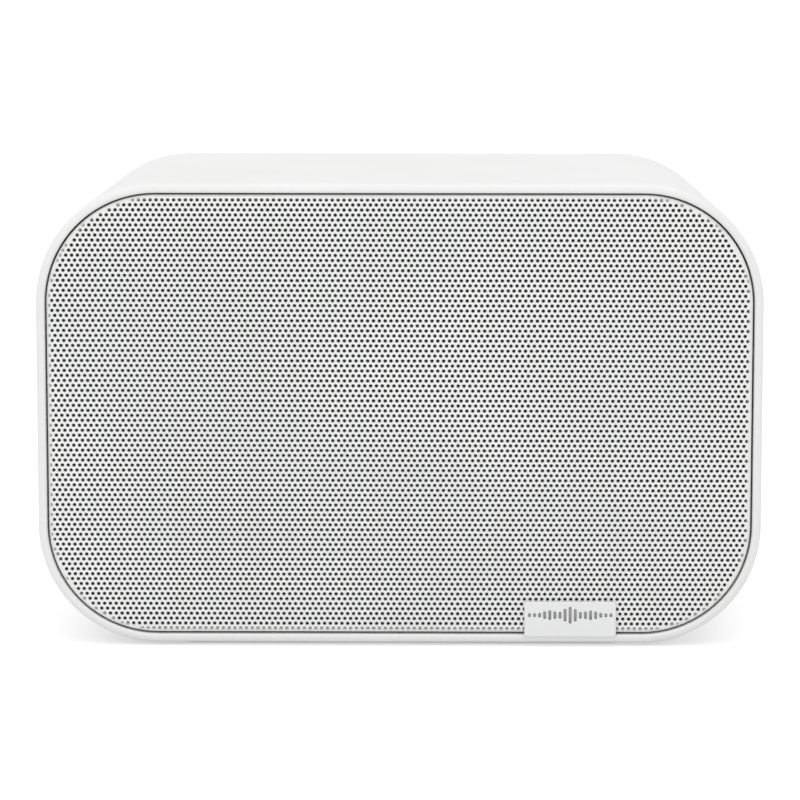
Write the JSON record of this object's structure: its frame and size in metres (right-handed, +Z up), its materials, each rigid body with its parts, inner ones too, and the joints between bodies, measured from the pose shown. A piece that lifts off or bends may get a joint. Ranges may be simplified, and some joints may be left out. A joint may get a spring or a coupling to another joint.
{
  "type": "smart speaker",
  "caption": "White rounded loudspeaker with a perforated metal front, inner woofer and tweeters, rear bass port, push keys, slide switch and a recessed bay of sockets.",
  "frame": {"origin": "on the surface the speaker stands on, below the middle of its overall box", "axes": "+X to the right seen from the front, +Y towards the back, +Z up; the front faces -Y"},
  "size_m": [0.2478, 0.1392, 0.1597],
  "materials": {
    "white_moulding": "satin, fine moulded texture",
    "white_panel": "satin, fine moulded texture",
    "white_keys": "satin",
    "grille_paint": "powder coat, satin",
    "frame_white": "satin",
    "tag_plastic": null,
    "grille_cloth": "open weave",
    "black_moulding": "moulded texture",
    "grey_foam": "closed-cell foam",
    "foot_rubber": "matte, fine ribs",
    "soft_rubber": "matte",
    "zinc_steel": "zinc plated",
    "black_steel": "black paint",
    "cone_paper": "coated paper pulp",
    "spider_cloth": "resin-set cotton",
    "copper_coil": "enamelled copper wire",
    "ferrite": "ground ferrite",
    "dome_silk": "doped silk",
    "circuit_board": "solder mask",
    "tin_can": "tinned steel",
    "heat_sink": "anodised",
    "capacitor_sleeve": "shrunk sleeve",
    "transformer_tape": "wound tape",
    "lead_insulation": "insulated wire",
    "felt": "polyester felt",
    "light_pipe": "clear moulding"
  },
  "bodies": {
    "cabinet": {"cabinet_shell": "white_moulding", "front_baffle": "black_moulding", "baffle_gasket": "grey_foam", "baffle_screws": "zinc_steel", "grille_sheet": "grille_paint", "grille_frame": "frame_white", "grille_grommets": "soft_rubber", "acoustic_cloth": "grille_cloth", "name_tag": "tag_plastic", "rear_panel": "white_panel", "terminal_tray": "white_panel", "rear_gasket": "grey_foam", "rear_screws": "zinc_steel", "base_pad": "foot_rubber", "bass_port": "white_panel", "damping_pad": "felt", "woofer_basket": "black_steel", "woofer_trim_ring": "grey_foam", "woofer_surround": "soft_rubber", "woofer_spider": "spider_cloth", "woofer_top_plate": "zinc_steel", "woofer_magnet": "ferrite", "woofer_yoke": "zinc_steel", "woofer_terminals": "zinc_steel", "woofer_screws": "zinc_steel", "tweeter_faceplate_left": "black_moulding", "tweeter_faceplate_right": "black_moulding", "tweeter_suspensions": "soft_rubber", "tweeter_motor_left": "zinc_steel", "tweeter_motor_right": "zinc_steel", "small_screws": "zinc_steel", "mic_board": "circuit_board", "mic_capsules": "tin_can", "status_light": "light_pipe", "main_board": "circuit_board", "wifi_module": "tin_can", "amplifier_heatsink": "heat_sink", "board_capacitors": "capacitor_sleeve", "aux_jack": "black_moulding", "usb_socket": "tin_can", "power_board": "circuit_board", "mains_transformer": "transformer_tape", "power_inlet": "black_moulding", "key_board": "circuit_board", "key_mat": "soft_rubber", "mute_switch": "black_moulding", "antennas": "circuit_board", "woofer_leads": "lead_insulation", "tweeter_leads": "lead_insulation", "mains_leads": "lead_insulation"},
    "woofer_cone_body": {"woofer_cone": "cone_paper", "woofer_dust_cap": "cone_paper", "woofer_voice_coil": "copper_coil"},
    "tweeter_dome_left_body": {"tweeter_dome_left": "dome_silk"},
    "tweeter_dome_right_body": {"tweeter_dome_right": "dome_silk"},
    "power_key_body": {"power_key": "white_keys"},
    "source_key_body": {"source_key": "white_keys"},
    "volume_down_key_body": {"volume_down_key": "white_keys"},
    "volume_up_key_body": {"volume_up_key": "white_keys"},
    "mute_slider_body": {"mute_slider": "white_keys"}
  },
  "joints": [
    {"name": "woofer_stroke", "type": "slide", "parent": "cabinet", "child": "woofer_cone_body", "axis": [0, -1, 0], "range_m": [-0.0035, 0.0035], "stiffness_N_per_m": 1000, "deforming": ["woofer_surround", "woofer_spider"]},
    {"name": "tweeter_stroke_left", "type": "slide", "parent": "cabinet", "child": "tweeter_dome_left_body", "axis": [0, -1, 0], "range_m": [-0.0003, 0.0003], "stiffness_N_per_m": 1500, "deforming": ["tweeter_suspensions"]},
    {"name": "tweeter_stroke_right", "type": "slide", "parent": "cabinet", "child": "tweeter_dome_right_body", "axis": [0, -1, 0], "range_m": [-0.0003, 0.0003], "stiffness_N_per_m": 1500, "deforming": ["tweeter_suspensions"]},
    {"name": "power_key_press", "type": "slide", "parent": "cabinet", "child": "power_key_body", "axis": [0, -1, 0], "range_m": [0, 0.0008], "stiffness_N_per_m": 700, "springref_m": -0.0003, "deforming": ["key_mat"]},
    {"name": "source_key_press", "type": "slide", "parent": "cabinet", "child": "source_key_body", "axis": [0, -1, 0], "range_m": [0, 0.0008], "stiffness_N_per_m": 700, "springref_m": -0.0003, "deforming": ["key_mat"]},
    {"name": "volume_down_key_press", "type": "slide", "parent": "cabinet", "child": "volume_down_key_body", "axis": [0, -1, 0], "range_m": [0, 0.0008], "stiffness_N_per_m": 700, "springref_m": -0.0003, "deforming": ["key_mat"]},
    {"name": "volume_up_key_press", "type": "slide", "parent": "cabinet", "child": "volume_up_key_body", "axis": [0, -1, 0], "range_m": [0, 0.0008], "stiffness_N_per_m": 700, "springref_m": -0.0003, "deforming": ["key_mat"]},
    {"name": "mute_slide", "type": "slide", "parent": "cabinet", "child": "mute_slider_body", "axis": [1, 0, 0], "range_m": [0, 0.0025]}
  ]
}
